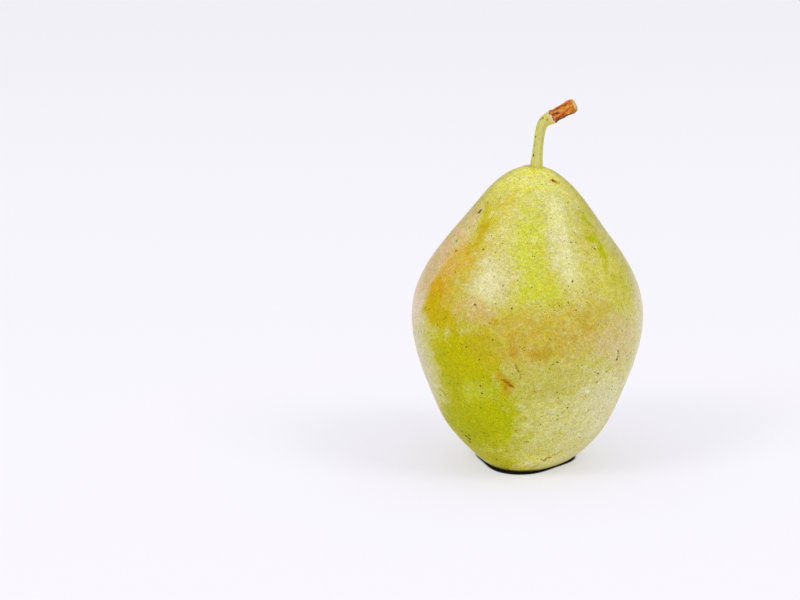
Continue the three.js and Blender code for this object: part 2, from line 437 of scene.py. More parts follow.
# copies round the axis, each with a little chance in its turn, lean and size
def ringOfCopies(nodes, shape, count, firstTurn, chances, seed):
    turnChance, leanChance, (smallest, largest) = chances
    spots = nodes.add("GeometryNodePoints", None, {"Count": count, "Position": (0, 0, 0)})
    index = nodes.add("GeometryNodeInputIndex")

    def chance(reach, number):
        return nodes.add("FunctionNodeRandomValue", {"data_type": "FLOAT"}, {
            2: -reach, 3: reach, "ID": index, "Seed": number}, 1)

    turn = (index / count) * (2 * math.pi) + math.radians(firstTurn) + chance(turnChance, seed)
    size = chance((largest - smallest) / 2, seed + 2) + (smallest + largest) / 2
    copies = nodes.add("GeometryNodeInstanceOnPoints", None, {
        "Points": spots, "Instance": shape,
        "Rotation": nodes.vector(0, chance(leanChance, seed + 1), turn),
        "Scale": nodes.vector(size, size, 1)})
    return nodes.add("GeometryNodeRealizeInstances", None, {0: copies})


def calyxTree(material, guides):
    nodes, given = geometryTree("calyxTree", {"Sepals": "Int", "Stamens": "Int", "Seed": "Int"})
    grid, angle, along = rolledGrid(nodes, calyx["discSides"], calyx["discRings"])
    radius, height = nodes.parts(guideSample(nodes, guides["discOutline"], along))[:2]
    cosine, sine = nodes.maths("COSINE", angle), nodes.maths("SINE", angle)
    disc = moved(nodes, grid, "Position", nodes.vector(radius * cosine, radius * sine, height))
    sepal = sweptLeaf(nodes, guides["sepalAxis"], guides["sepalShape"],
                      calyx["sepalSides"], calyx["sepalRings"])
    stamen = sweptLeaf(nodes, guides["stamenAxis"], guides["stamenShape"],
                       calyx["stamenSides"], calyx["stamenRings"])
    sepals = ringOfCopies(nodes, sepal, given["Sepals"], calyx["sepalTurn"], calyx["sepalChance"],
                          given["Seed"])
    stamens = ringOfCopies(nodes, stamen, given["Stamens"], 0, calyx["stamenChance"],
                           given["Seed"] + 7)
    joined = nodes.add("GeometryNodeJoinGeometry")
    for part in (disc, sepals, stamens):
        nodes.tree.links.new(part.socket, joined.socket.node.inputs[0])
    closed = mergeSeams(nodes, joined)
    wrinkles = nodes.swing(nodes.add("GeometryNodeInputPosition"), *calyx["crumple"], 3.0)
    crumple = nodes.scaled(nodes.add("GeometryNodeInputNormal"), wrinkles)
    rough = moved(nodes, closed, "Offset", crumple)
    closeTree(nodes, rough, material, (-fruit["footLean"] * mm, 0, 0))  # the basin's middle
    return nodes.tree


def makeCalyx(material):
    names = ("discOutline", "sepalAxis", "sepalShape", "stamenAxis", "stamenShape")
    guides = {name: splineGuide(name, calyx[name]) for name in names}
    return bakePiece("calyxTuft", calyxTree(material, guides), {
        "Sepals": calyx["sepals"], "Stamens": calyx["stamens"], "Seed": calyx["seed"]}, guides.values())


def shaderNodes(name):
    material = bpy.data.materials.new(name)
    return material, emptyNodes(material)


def objectPlace(nodes):  # in mm
    return nodes.scaled(nodes.add("ShaderNodeTexCoord", None, None, "Object"), 1 / mm)


# one more colour over the others, where the value passes its range: colour, range, how much of it shows
def layOver(nodes, colour, value, layer):
    code, (low, high), cover = layer
    return nodes.mixColour(nodes.ease(value, low, high, 0, cover), colour, tint(code))


# a surface of changing colour over the plain values of its finish; the relief is in mm
def addSurface(nodes, sockets, finish, relief=None):
    if relief is not None:
        bump = {"Strength": 1.0, "Distance": mm, "Height": relief}
        sockets["Normal"] = nodes.add("ShaderNodeBump", None, bump, "Normal")
    surface = nodes.add("ShaderNodeBsdfPrincipled", None, {**sockets, **finish})
    nodes.add("ShaderNodeOutputMaterial", None, {"Surface": surface})


skin = {
    "base": "cdc43e",
    "wax": 0.8,
    # soft blots of colour, painted one over the other: name, where its middle is (angle round the
    # axis from +X in degrees, height in mm), half its size across and up in mm, colour, how much
    # of it shows, and how waxy and how ripe the skin is there
    "patches": [
        ("sideOlive", (15, 56), (16, 18), "c8c43c", 0.7, 0.5, 0),
        ("sideTan", (20, 45), (15, 9), "d2be5c", 0.8, 0.5, 0.8),
        ("sidePale", (4, 24), (16, 14), "d8d488", 0.8, 1, 0),
        ("backLime", (60, 63), (11, 20), "c6cc20", 0.85, 0.35, 0),
        ("backTan", (98, 47), (22, 9), "d4c05c", 0.85, 0.4, 0.8),
        ("backGreen", (74, 28), (22, 17), "bec412", 0.9, 0.1, 0),
        ("backPale", (122, 22), (18, 14), "dad684", 0.85, 1, 0),
        ("backWax", (100, 68), (12, 12), "d0c870", 0.75, 1, 0),
        ("backGold", (134, 60), (15, 15), "d4ba48", 0.7, 0.4, 0.5),
        ("backBlush", (170, 52), (26, 24), "dfb67c", 0.8, 0.8, 0.4),
        ("blushHeart", (168, 48), (20, 19), "dc9c60", 0.5, 0.7, 0.3),
        ("backFoot", (95, 6), (24, 7), "dcd450", 0.8, 0.9, 0),
        ("backCrown", (80, 84), (18, 9), "dad84c", 0.85, 1, 0),
        ("crown", (-92, 86), (20, 9), "e2e030", 0.85, 1, 0),
        ("crownLeft", (-107, 79), (7, 7), "d0c41c", 0.7, 0.8, 0),
        ("paleShoulder", (-64, 78), (9, 10), "d0cf6c", 0.85, 1, 0),
        ("limeNeck", (-88, 78), (5, 9), "d0d034", 0.7, 0.7, 0),
        ("limeColumn", (-89, 69), (6.5, 15), "ccd028", 0.95, 0.5, 0),
        ("limeFoot", (-86, 59), (10, 7), "cdd028", 0.9, 0.3, 0),
        # waxy skin whose paler colour is partly a painted highlight, where the two lamps shine on the wax
        ("waxAndPaintedHighlightLeft", (-113, 60), (10, 11), "cabf72", 0.85, 1, 0),
        ("waxAndPaintedHighlightRight", (-65, 66), (6, 14), "c2bf5e", 0.8, 1, 0),
        ("oliveRight", (-32, 58), (10, 14), "d7cf48", 0.85, 0.45, 0),
        # paler skin low on the right: partly its own colour, partly painted light, a broad reflection and
        # light thrown up from the floor
        ("paleAndPaintedLightRight", (-46, 21), (18, 17), "dfda92", 0.9, 1, 0),
        ("paleAndPaintedReflectionHeart", (-45, 24), (8, 8), "dcd6a0", 0.7, 1, 0),
        ("footYellow", (-86, 4), (18, 6), "e4de50", 0.8, 0.9, 0),
        ("tanMiddle", (-91, 45), (26, 11), "d2be44", 0.9, 0.3, 1),
        ("tanRight", (-58, 48), (14, 11), "d4c054", 0.85, 0.55, 0.8),
        ("pinkRight", (-38, 42), (13, 10), "d8c07a", 0.8, 0.9, 0.5),
        ("pinkUnderWax", (-120, 52), (9, 5), "dab670", 0.7, 0.7, 0.4),
        ("midGreen", (-88, 31), (16, 9), "c6be3a", 0.75, 0.5, 0),
        ("lowPale", (-80, 18), (17, 12), "dad768", 0.8, 0.9, 0),
        ("greenLeft", (-125, 37), (17, 15), "c1ba00", 1, 0, 0),
        ("greenLow", (-115, 20), (16, 17), "b9be00", 1, 0, 0),
        ("goldGreen", (-112, 42), (7, 6), "c6b414", 0.7, 0.05, 0.25),
        ("greenLowPale", (-119, 27), (8, 4), "c4cc34", 0.6, 0.1, 0),
        ("goldFlank", (-142, 64), (11, 9), "dcaf18", 0.9, 0.3, 0.6),
        ("oliveStreak", (-134, 73), (4.5, 7), "ccbe04", 0.8, 0.2, 0),
        ("oliveUnder", (-128, 69), (5, 6), "ccb81c", 0.6, 0.4, 0.2),
        ("goldCheek", (-144, 54), (6, 10), "e0b000", 0.9, 0.05, 0.5),
        ("goldMottle", (-134, 55), (5, 9), "d2b01c", 0.6, 0.2, 0.6),
        # the left rim, where the skin slants away: pale pink that is partly blush and partly a painted
        # reflection; lower down pale grey, a painted reflection
        ("blushAndPaintedRimShoulder", (-164, 73), (10, 10), "e4c888", 0.9, 0.9, 0.3),
        ("blushAndPaintedRimReflection", (-167, 60), (13.5, 18), "e8c090", 0.9, 0.85, 0),
        ("paintedRimReflectionLeftLow", (-163, 34), (10, 21), "c4b880", 0.7, 1, 0),
        ("blushAndPaintedRimReflectionLow", (-164, 49), (9, 8), "e8cca6", 0.8, 1, 0),
        ("greenEdge", (-136, 28), (6, 13), "b4b200", 0.9, 0, 0),
        # saturated green, partly painted darker than its neighbours as shade on the low left flank that
        # faces down
        ("greenAndPaintedShadeFootLeft", (-138, 13), (15, 15), "b0b200", 1, 0, 0),
        ("greenFootLow", (-124, 4.5), (13, 6), "bcb808", 0.9, 0.1, 0),
        # painted reflection: the pale right rim, where the skin slants away
        ("paintedReflectionRimRight", (-7, 42), (10, 25), "d8d298", 0.7, 1, 0),
        ("paintedReflectionRimRightHigh", (-10, 68), (5, 12), "d6d08c", 0.6, 1, 0),
    ],
    "patchDepth": 16.0,  # how deep a blot reaches from the skin, in mm
    "patchSoft": 0.55,  # share of its size over which it fades
    "streakSoft": 0.7,  # the same for the streaks
    "streakRagged": 1.5,  # how much more ragged the streaks' edges are
    "wander": [(17.0, 6.0), (4.0, 5.0), (1.3, 2.4)],  # size and reach of the uneven edges, in mm
    "stipple": [(2.6, 0.9), (0.5, 0.9)],  # size and reach of the ragged look inside and at the edges
    # ragged streaks: path over the skin (angle, height), half width in mm, colour, how much of it
    # shows, wax
    "streaks": [
        ([(-142, 80), (-138, 77), (-132, 74)], 1.9, "ccbe08", 0.8, 0.05),
        ([(-116, 80), (-124, 75.5)], 3, "cebf10", 0.7, 0.3),
        ([(-131, 73), (-130.5, 70), (-134, 67.4)], 2.3, "c8ac00", 0.85, 0.02),
        ([(-151, 65), (-145, 61.5)], 3, "d8a41c", 0.6, 0.2),
        ([(-147, 58.4), (-149, 54.5), (-145, 50)], 3, "d8a600", 0.95, 0),
        ([(-141.5, 57), (-141, 54.6)], 2, "d0960c", 0.6, 0),
        ([(-143, 50.5), (-139, 47), (-131, 48)], 4.8, "c8b200", 0.95, 0),
        ([(-141, 8.5), (-127, 4.8), (-106, 3)], 3.4, "bab400", 0.85, 0),
        ([(-31, 77.8), (-31, 75.4), (-26, 72.2)], 1.2, "b0b800", 0.95, 0),
        ([(-36, 70.4), (-31, 68.6), (-30, 66.4), (-33, 65)], 2.8, "b8ba00", 1, 0),
        ([(-33, 63.6), (-37, 60.5)], 1.9, "bcba08", 0.75, 0.1),
        ([(74, 75), (79, 69)], 2.4, "bcbe10", 0.55, 0.2),
        ([(131, 74), (128, 66)], 3, "ccb41c", 0.5, 0.3),
        ([(-36, 59.4), (-27, 58.6), (-22, 56)], 2.8, "c0c018", 0.6, 0.3),
        ([(-94, 53.8), (-91, 54)], 2, "c0a400", 0.75, 0.2),
        ([(-105, 49.4)], 2.1, "c89c00", 0.75, 0.2),
        ([(-97, 51.3)], 2.2, "c4a000", 0.7, 0.2),
        ([(-92, 45.1), (-92, 44)], 1.6, "b88a08", 0.7, 0.2),
        ([(-97, 44), (-97, 41)], 1.5, "be9208", 0.6, 0.2),
        ([(-86, 47.9)], 2, "cc9434", 0.7, 0.2),
        ([(-76, 54.6)], 2.6, "c4b40c", 0.7, 0.2),
        ([(-60, 51), (-59, 48)], 2.6, "c0a010", 0.65, 0.2),
        ([(-67, 45.6), (-71, 46.5)], 2.1, "c49c0c", 0.7, 0.2),
        ([(-86, 41), (-80, 40)], 2.8, "b89c00", 0.75, 0.2),
        # painted light: a bright yellow line along the very bottom edge, where light from the floor falls
        # on the foot
        ([(-108, 1), (-92, 0.7), (-82, 0.8)], 1.4, "ffec30", 0.9, 0.2),
        ([(-84, 0.9), (-70, 1), (-52, 1.8)], 1.2, "fcf4a8", 0.8, 0.4),
    ],
    # small marks: their path over the skin (angle, height), width in mm, colour, how much of it shows
    "marks": [
        ([(-43, 85.3), (-36, 84.8)], 1, "b0761c", 0.8),
        ([(-42.5, 85.3), (-40.5, 85.1)], 0.5, "2c1c0a", 1),
        ([(-150.8, 76.1), (-149.6, 76.7)], 0.8, "4e4210", 0.95),
        ([(-154, 68.1)], 0.45, "5e4218", 1),
        ([(-118, 53.6), (-117.2, 53.6)], 0.42, "4e341e", 1),
        ([(-57, 70), (-55.8, 69.8)], 0.36, "33240e", 1),
        ([(-52.5, 69.7)], 0.36, "4a3414", 1),
        ([(-37, 67.1)], 0.45, "4a3c14", 1),
        ([(-64, 60.4)], 0.42, "40341a", 1),
        ([(-75, 38.5)], 0.5, "4a3a14", 0.95),
        ([(-76.5, 37.9), (-79, 37.4)], 0.34, "5a4a1c", 0.5),
        ([(-97, 46.5), (-97.5, 43.5), (-96.6, 40.5)], 1.3, "cc9c04", 0.5),
        ([(-95.2, 37.6), (-94.2, 35.9)], 0.4, "84520f", 0.75),
        ([(-93, 34.9), (-92.8, 33.6)], 0.4, "a87820", 0.6),
        ([(-103.5, 34), (-100.5, 32.4), (-98, 31.3)], 1.9, "cca60a", 0.65),
        ([(-100.5, 31.8), (-100, 29)], 1.9, "c89a0a", 0.6),
        ([(-102, 33), (-100.6, 32.2)], 0.5, "a06808", 0.7),
        ([(-99.8, 32), (-98.6, 31.4)], 0.75, "a0680c", 0.8),
        ([(-98.4, 31.3), (-96.8, 30.7)], 0.34, "6c4408", 0.8),
        ([(-100.4, 30.8), (-100.6, 29.8)], 0.55, "a46c0c", 0.6),
        ([(-39, 39.3), (-38.3, 38.4)], 0.4, "44300f", 1),
        ([(-38.2, 37.2), (-38.8, 36.2)], 0.4, "44300f", 1),
        ([(-41, 36.6)], 0.38, "44300f", 1),
        ([(-137.5, 11.5)], 0.66, "2c260e", 1),
        ([(-135, 10.7)], 0.70, "2c260e", 1),
        ([(-139, 12.6)], 0.60, "3a3010", 1),
        ([(-133, 12.1)], 0.60, "3a3010", 0.9),
        ([(-138, 9.6), (-136.6, 9.3)], 0.55, "3a3010", 0.9),
        ([(-118.5, 14.2)], 0.45, "5c5410", 0.9),
        ([(-104, 8.6)], 0.42, "5c5410", 0.85),
        ([(-90, 12.2), (-88.6, 12.6)], 0.45, "8a7420", 0.8),
        ([(-76, 5.6), (-73, 5), (-71.5, 6.2), (-68, 6)], 0.5, "8c5a1c", 0.8),
        ([(-67, 6.8), (-64, 7.1), (-60, 8)], 0.4, "a07a34", 0.75),
        ([(12, 62), (13.5, 61.4)], 0.45, "40341a", 1),
        ([(31, 34)], 0.42, "4a3c14", 1),
        ([(66, 52), (67, 50.4)], 0.4, "54401a", 0.9),
        ([(84, 71)], 0.5, "5e4218", 0.9),
        ([(104, 37), (107, 35.8), (109, 36.2)], 1.2, "c4940c", 0.6),
        ([(105.5, 36.6), (107.5, 35.9)], 0.45, "8c560a", 0.8),
        ([(118, 57)], 0.45, "40341a", 0.95),
        ([(143, 33), (144, 31.5)], 0.42, "4a3c14", 0.95),
        ([(170, 63), (172, 62.4)], 0.42, "4e341e", 0.95),
        ([(-84, 2.2), (-80, 2.6), (-77, 3.6)], 0.5, "a07a2a", 0.65),
    ],
    "markFray": (0.7, 1.6),  # size and reach of their uneven edges, in mm
    "markCore": 0.4,  # share of a mark's width that is full of its colour
    "lenticels": [  # spacing in mm, smallest and largest radius in mm, colour, strength
        (1.3, 0.05, 0.28, "6a5814", 0.85),
        (2.3, 0.10, 0.34, "524010", 0.9),
        (4.1, 0.12, 0.42, "44330e", 0.95),
    ],
    "fine": (3.0, 0.6),  # detail and roughness of the noise in flecks, grain and dust
    "fleckSoft": 0.14,
    "flecks": [  # size in mm, threshold, colour, strength on dull and on waxy skin
        (4.5, 0.48, "c8c400", 0.3, 0.36),
        (3.0, 0.50, "e4dfae", 0.0, 0.42),
        (1.5, 0.49, "c6c000", 0.2, 0.42),
        (2.0, 0.51, "e4dcae", 0.0, 0.34),
        (0.9, 0.50, "a88a10", 0.22, 0.30),
        (0.5, 0.52, "f2efc4", 0.0, 0.26),
    ],
    "ripeWear": 0.5,  # how much of the wax the ripe flecks take away
    "ripeFlecks": [  # the warm mottling of the ripe parts: size, threshold, softness, colour, strength
        (3.1, 0.45, 0.16, "cca604", 0.42),
        (1.5, 0.51, 0.12, "c49810", 0.38),
        (0.8, 0.54, 0.10, "b0761a", 0.28),
    ],
    "lift": 1.07,  # brightens the whole skin a little
    "grain": [(0.34, 1.32), (0.8, 0.68), (2.4, 0.20)],  # size in mm, how much it lightens or darkens
    "dust": (0.42, 0.25),  # size in mm of the pale dusting of the waxy skin, and how much it adds
    "dustLeast": 0.1,  # share of it that dull skin has
    "peel": [(0.7, 0.05, 2.0), (2.2, 0.08, 1.0)],  # size and height of the skin's fine waves, detail
    "pitDepth": 0.03,  # of the lenticels, in mm
    "finish": {  # the coat is the wax, and the sheen is the bloom that pales the skin at a slant
        "Roughness": 0.5, "Specular IOR Level": 0.04, "Coat Roughness": 0.34, "Coat IOR": 1.7,
        "Sheen Weight": 0.10, "Sheen Roughness": 0.3,
    },
}


# finds places on the finished skin by their angle and height
class SkinFinder:
    def __init__(self, piece):
        self.tree = BVHTree.FromPolygons(
            [vertex.co for vertex in piece.data.vertices],
            [tuple(face.vertices) for face in piece.data.polygons])

    def find(self, angle, height):  # the place and the way out of the skin there, in mm
        turn = math.radians(angle)
        inward = -Vector((math.cos(turn), math.sin(turn), 0))  # the ray starts a metre away
        place, normal = self.tree.ray_cast(Vector((0, 0, height * mm)) - inward, inward)[:2]
        return place / mm, normal


def patchMask(nodes, place, finder, at, half, cover, stipple):
    centre, outward = finder.find(*at)
    across = Vector((0, 0, 1)).cross(outward).normalized()
    axes = (across / half[0], outward / skin["patchDepth"], outward.cross(across) / half[1])
    local = [nodes.vectorMaths("DOT_PRODUCT", place, axis, output="Value") for axis in axes]
    middle = [centre.dot(axis) for axis in axes]
    away = nodes.vectorMaths("DISTANCE", nodes.vector(*local), middle, output="Value")
    return nodes.ease(away - stipple, 1, 1 - skin["patchSoft"], 0, cover)


def distanceToPath(nodes, place, points):
    if len(points) == 1:
        return nodes.vectorMaths("DISTANCE", place, points[0], output="Value")
    nearest = None
    for start, end in zip(points, points[1:]):
        way = end - start
        fromStart = nodes.vectorMaths("SUBTRACT", place, start)
        share = nodes.vectorMaths("DOT_PRODUCT", fromStart, way / way.length_squared, output="Value")
        held = nodes.add("ShaderNodeClamp", None, {0: share})
        foot = nodes.vectorMaths("ADD", start, nodes.scaled(tuple(way), held))
        away = nodes.vectorMaths("DISTANCE", place, foot, output="Value")
        nearest = away if nearest is None else nodes.maths("MINIMUM", nearest, away)
    return nearest


# round dots, one in each cell; most of them are small
def cellDots(nodes, place, spacing, smallest, largest, core=0.55):
    cells = nodes.add("ShaderNodeTexVoronoi", None, {"Vector": place, "Scale": 1 / spacing}, "Distance")
    away = cells * spacing
    chance = nodes.parts(cells.also("Color"))[0]
    radius = smallest + (largest - smallest) * chance ** 2
    return 1 - nodes.ease(away / radius, core, 1.0)


def paintSkin(nodes, fruitPiece):
    finder = SkinFinder(fruitPiece)
    place = objectPlace(nodes)
    strayed = place
    for size, reach in skin["wander"]:
        strayed = nodes.vectorMaths("ADD", strayed, nodes.wander(place, size, reach))
    stipple = sum(nodes.swing(place, size, reach) for size, reach in skin["stipple"])
    colour = tint(skin["base"])
    wax = skin["wax"]
    ripe = 0.0
    for name, at, half, code, cover, patchWax, patchRipe in skin["patches"]:
        mask = patchMask(nodes, strayed, finder, at, half, cover, stipple)
        mask.socket.node.label = name
        colour = nodes.mixColour(mask, colour, tint(code))
        wax = nodes.mixValue(mask, wax, patchWax)
        ripe = nodes.mixValue(mask, ripe, patchRipe)
    raggedEdge = stipple * skin["streakRagged"]
    for path, width, code, cover, streakWax in skin["streaks"]:
        points = [finder.find(*spot)[0] for spot in path]
        away = distanceToPath(nodes, strayed, points) / width - raggedEdge
        mask = nodes.ease(away, 1, 1 - skin["streakSoft"], 0, cover)
        colour = nodes.mixColour(mask, colour, tint(code))
        wax = nodes.mixValue(mask, wax, streakWax)

    # mottling, lenticels and small marks
    fine = skin["fine"]
    for size, threshold, code, onDull, onWaxy in skin["flecks"]:
        mask = nodes.ease(nodes.noise(place, size, *fine), threshold, threshold + skin["fleckSoft"])
        colour = nodes.mixColour(mask * (wax * (onWaxy - onDull) + onDull), colour, tint(code))
    for size, threshold, softness, code, strength in skin["ripeFlecks"]:
        mask = nodes.ease(nodes.noise(place, size, *fine), threshold, threshold + softness)
        mask = mask * ripe * strength
        colour = nodes.mixColour(mask, colour, tint(code))
        wax = wax * (1 - mask * skin["ripeWear"])
    pits = None
    for spacing, smallest, largest, code, strength in skin["lenticels"]:
        dots = cellDots(nodes, place, spacing, smallest, largest)
        colour = nodes.mixColour(dots * strength, colour, tint(code))
        pits = dots if pits is None else nodes.maths("MAXIMUM", pits, dots)
    wax = nodes.mixValue(pits, wax, 0)
    frayed = nodes.vectorMaths("ADD", place, nodes.wander(place, *skin["markFray"]))
    for path, width, code, cover in skin["marks"]:
        away = distanceToPath(nodes, frayed, [finder.find(*spot)[0] for spot in path])
        mask = nodes.ease(away, width * skin["markCore"], width, cover, 0)
        colour = nodes.mixColour(mask, colour, tint(code))
        wax = nodes.mixValue(mask, wax, 0)

    # grain all over and a pale dusting on the wax
    for size, reach in skin["grain"]:
        level = skin["lift"] ** (1 / len(skin["grain"])) + nodes.swing(place, size, reach, *fine)
        colour = nodes.mixColour(1.0, colour, level, "MULTIPLY")
    dust = nodes.swing(place, *skin["dust"], *fine)
    dusty = wax * (1 - skin["dustLeast"]) + skin["dustLeast"]
    colour = nodes.mixColour(dusty, colour, dust, "ADD")
    colour = nodes.mixColour(1.0, colour, tint("000000"), "LIGHTEN")  # nothing below black

    peel = sum(nodes.swing(place, *wave) for wave in skin["peel"])
    addSurface(nodes, {"Base Color": colour, "Coat Weight": wax}, skin["finish"],
               peel - pits * skin["pitDepth"])
    print("painted the skin with", len(skin["patches"]), "patches and", len(skin["marks"]), "marks")


bark = {
    # each layer over a base colour: its colour, the values between which it comes in, how much shows
    "sheath": "e2e06a",
    "sheathDarkFibres": ("bcc040", (0.42, 0.62), 0.6),
    "sheathStreak": ("e8dc9c", (0.84, 1.04), 0.7),
    # painted shade: the sheath darker at its sides
    "sheathPaintedShadeSides": ("8c962c", (0.45, 0.0), 0.7),
    "knee": ("e6d268", (18.5, 21.5), 0.7),
    "woodBase": "76340a",
    "wood": ("de7c18", (0.38, 0.49), 1.0),
    "woodRed": ("dc4226", (0.54, 0.62), 0.8),
    "woodGold": ("f2b83e", (0.54, 0.62), 0.8),
    "woodPale": ("f2b49c", (0.60, 0.68), 0.6),
    "woodCracks": ("76340a", (0.40, 0.32), 0.6),
    "woodShadow": ("76340a", (0.35, 0.95), 0.85),
    "cut": "dcb44c",
    "cutPale": ("e8e0a4", (0.45, 0.6), 1.0),
    # spacing, smallest and largest radius in mm; the share of them that shows grows to the left
    "specks": {"colour": "3a3010", "size": (0.95, 0.05, 0.40), "left": (0.3, -0.7), "shares": (0.3, 1.0)},
    "pith": {"colour": "3c2410", "size": (0.75, 0.1, 0.32)},  # dark dots in the cut face
    "lip": {"colour": "f4dcb8", "reach": (-1.3, -0.4), "gaps": (0.36, 0.50), "cover": 0.85},
    "seam": {"colour": "4c3414", "reach": (0.3, 0.08), "gaps": (0.42, 0.55), "cover": 0.85},
    "edgeRagged": (1.0, 1.6),  # size and reach of the uneven end of the green sheath, in mm
    "edgeSoft": 0.15,  # half the length over which it passes into bark
    "kneeRagged": 5,
    "streakRagged": 0.5,
    "cutAlong": (28.6, 29.0),  # distance along the stem at which the cut face begins, in mm
    "cutReach": (1.3, 1.7),  # radius at which the pale cut face passes into bark, in mm
    "cutRagged": (0.5, 1.2),  # how far the face and its rim stray, in mm
    "fibres": (0.45, 4.0, 0.6),  # size in mm, detail and roughness of the noise
    "strands": (0.6, 3.0, 0.55),
    "blots": (0.9, 3.0, 0.6),
    "grit": (0.32, 2.0, 0.6),
    "wrap": 1.6,  # radius at which fibres, strands and specks are laid round the stem, in mm
    "fibrePace": 0.25,  # their pattern passes this slowly along the stem, so that they run long
    "speckPace": 0.6,
    "fibreDepth": 0.10,
    "gritDepths": (0.03, 0.12),  # on the sheath and on the wood
    "speckDepth": 0.04,
    "roughness": (0.5, 0.62),  # of the sheath and of the wood
    "finish": {"Specular IOR Level": 0.3},
}


def paintStem(nodes):
    def value(name):
        return nodes.add("ShaderNodeAttribute", {"attribute_name": name}, None, "Fac")

    along, radius = value("stemAlong"), value("stemRadius")
    cosine, sine = value("stemCosine"), value("stemSine")
    place = objectPlace(nodes)
    wrapX, wrapY = cosine * bark["wrap"], sine * bark["wrap"]
    rolled = nodes.vector(wrapX, wrapY, along * bark["fibrePace"])
    fibres, strands = nodes.noise(rolled, *bark["fibres"]), nodes.noise(rolled, *bark["strands"])
    blots, grit = nodes.noise(place, *bark["blots"]), nodes.noise(place, *bark["grit"])

    # green sheath: a pale streak down its front, darker sides of painted shade, specks along its left
    # edge
    front = nodes.maths("ABSOLUTE", sine) + (fibres - 0.5) * bark["streakRagged"]
    colour = layOver(nodes, tint(bark["sheath"]), fibres, bark["sheathDarkFibres"])
    colour = layOver(nodes, colour, front, bark["sheathStreak"])
    colour = layOver(nodes, colour, front, bark["sheathPaintedShadeSides"])
    colour = layOver(nodes, colour, along + (blots - 0.5) * bark["kneeRagged"], bark["knee"])
    plan = bark["specks"]
    specks = cellDots(nodes, nodes.vector(wrapX, wrapY, along * bark["speckPace"]), *plan["size"])
    onLeft = nodes.ease(cosine, *plan["left"], *plan["shares"])
    colour = nodes.mixColour(specks * onLeft, colour, tint(plan["colour"]))

    # brown wood past the ragged end of the sheath, which ends in a pale lip and a dark seam
    end, soft = stem["sheathEnd"], bark["edgeSoft"]
    edge = along + nodes.swing(place, *bark["edgeRagged"], 3.0, 0.6)
    onWood = nodes.ease(edge, end - soft, end + soft)
    wood = layOver(nodes, tint(bark["woodBase"]), strands, bark["wood"])
    wood = layOver(nodes, wood, blots, bark["woodRed"])
    wood = layOver(nodes, wood, strands, bark["woodGold"])
    wood = layOver(nodes, wood, grit, bark["woodPale"])
    wood = layOver(nodes, wood, grit, bark["woodCracks"])
    wood = layOver(nodes, wood, cosine + (blots - 0.5), bark["woodShadow"])
    plan = bark["lip"]
    lip = nodes.ease(edge, *[end + reach for reach in plan["reach"]]) * nodes.ease(grit, *plan["gaps"])
    colour = nodes.mixColour(lip * plan["cover"], colour, tint(plan["colour"]))
    colour = nodes.mixColour(onWood, colour, wood)
    plan = bark["seam"]
    seam = nodes.ease(nodes.maths("ABSOLUTE", edge - end), *plan["reach"])
    seam = seam * nodes.ease(blots, *plan["gaps"])
    colour = nodes.mixColour(seam * plan["cover"], colour, tint(plan["colour"]))

    # the cut face at the tip, pale in its middle and dark at its rim
    faceRagged, rimRagged = bark["cutRagged"]
    atCut = nodes.ease(along + (grit - 0.5) * faceRagged, *bark["cutAlong"])
    cut = layOver(nodes, tint(bark["cut"]), blots, bark["cutPale"])
    plan = bark["pith"]
    cut = nodes.mixColour(cellDots(nodes, place, *plan["size"]), cut, tint(plan["colour"]))
    atRim = nodes.ease(radius + (blots - 0.5) * rimRagged, *bark["cutReach"])
    cut = nodes.mixColour(atRim, cut, wood)
    colour = nodes.mixColour(atCut, colour, cut)

    gritDepth = nodes.ease(onWood, 0, 1, *bark["gritDepths"])
    relief = ((fibres - 0.5) * bark["fibreDepth"] + (grit - 0.5) * gritDepth
              - specks * bark["speckDepth"])
    roughness = nodes.ease(onWood, 0, 1, *bark["roughness"])
    addSurface(nodes, {"Base Color": colour, "Roughness": roughness}, bark["finish"], relief)
    print("painted the stem")


tuft = {
    "dark": "2a2018",
    "dry": ("5a4630", (0.35, 0.6), 1.0),
    "dusty": ("8c7a58", (0.52, 0.66), 0.6),
    "crust": (0.6, 4.0, 0.65),  # size in mm, detail and roughness of the noise
    "crustDepth": 0.15,
    "veins": (3.0, 3.0, 0.8),  # how much finer the veins are drawn each way
    "finish": {"Roughness": 0.85, "Specular IOR Level": 0.2},
}


def paintCalyx(nodes):
    place = objectPlace(nodes)
    crust = nodes.noise(place, *tuft["crust"])
    veins = nodes.noise(nodes.vectorMaths("MULTIPLY", place, tuft["veins"]), 1.0, 3.0)
    colour = layOver(nodes, tint(tuft["dark"]), crust, tuft["dry"])
    colour = layOver(nodes, colour, veins, tuft["dusty"])
    addSurface(nodes, {"Base Color": colour}, tuft["finish"], crust * tuft["crustDepth"])
    print("painted the calyx")


